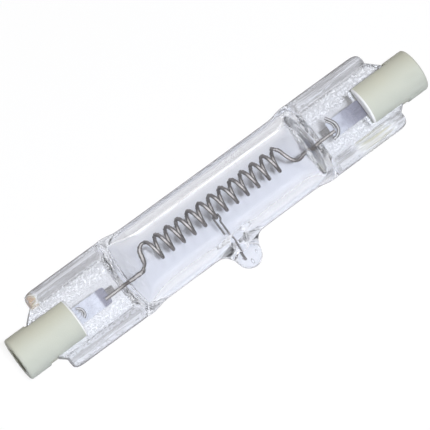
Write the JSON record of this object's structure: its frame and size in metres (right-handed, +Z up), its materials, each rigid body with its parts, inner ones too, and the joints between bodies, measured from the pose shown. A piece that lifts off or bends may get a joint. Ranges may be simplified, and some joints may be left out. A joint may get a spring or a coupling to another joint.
{
  "type": "projection lamp",
  "caption": "Double-ended quartz projection lamp with a coiled filament, flat pinched ends, ceramic end caps and a sealed-off tip on its side.",
  "frame": {"origin": "on the surface that the lamp lies on, under the middle of its outline", "axes": "+X along the lamp towards its right end, +Z up, and the sealed-off tip points forwards and down along -Y and -Z to rest on the surface"},
  "size_m": [0.0776, 0.016, 0.013],
  "materials": {
    "quartz": "clear fire-polished quartz, faintly lilac in its thick edges",
    "tungsten": "drawn tungsten wire, grey-brown with a bright line along it",
    "molybdenum": "thin bluish-grey foil and wire",
    "steatite": "unglazed pale grey-green ceramic",
    "nickel": "dull plated contact, dark in its recess",
    "cement": "dry white cement"
  },
  "bodies": {
    "root": {"glass_envelope": "quartz", "filament": "tungsten", "filament_support": "tungsten", "seal_foil_left": "molybdenum", "seal_foil_right": "molybdenum", "weld_tab_left": "molybdenum", "weld_tab_right": "molybdenum", "outer_lead_left": "molybdenum", "outer_lead_right": "molybdenum", "ceramic_cap_left": "steatite", "ceramic_cap_right": "steatite", "contact_left": "nickel", "contact_right": "nickel", "cap_cement_left": "cement", "cap_cement_right": "cement"}
  },
  "joints": []
}
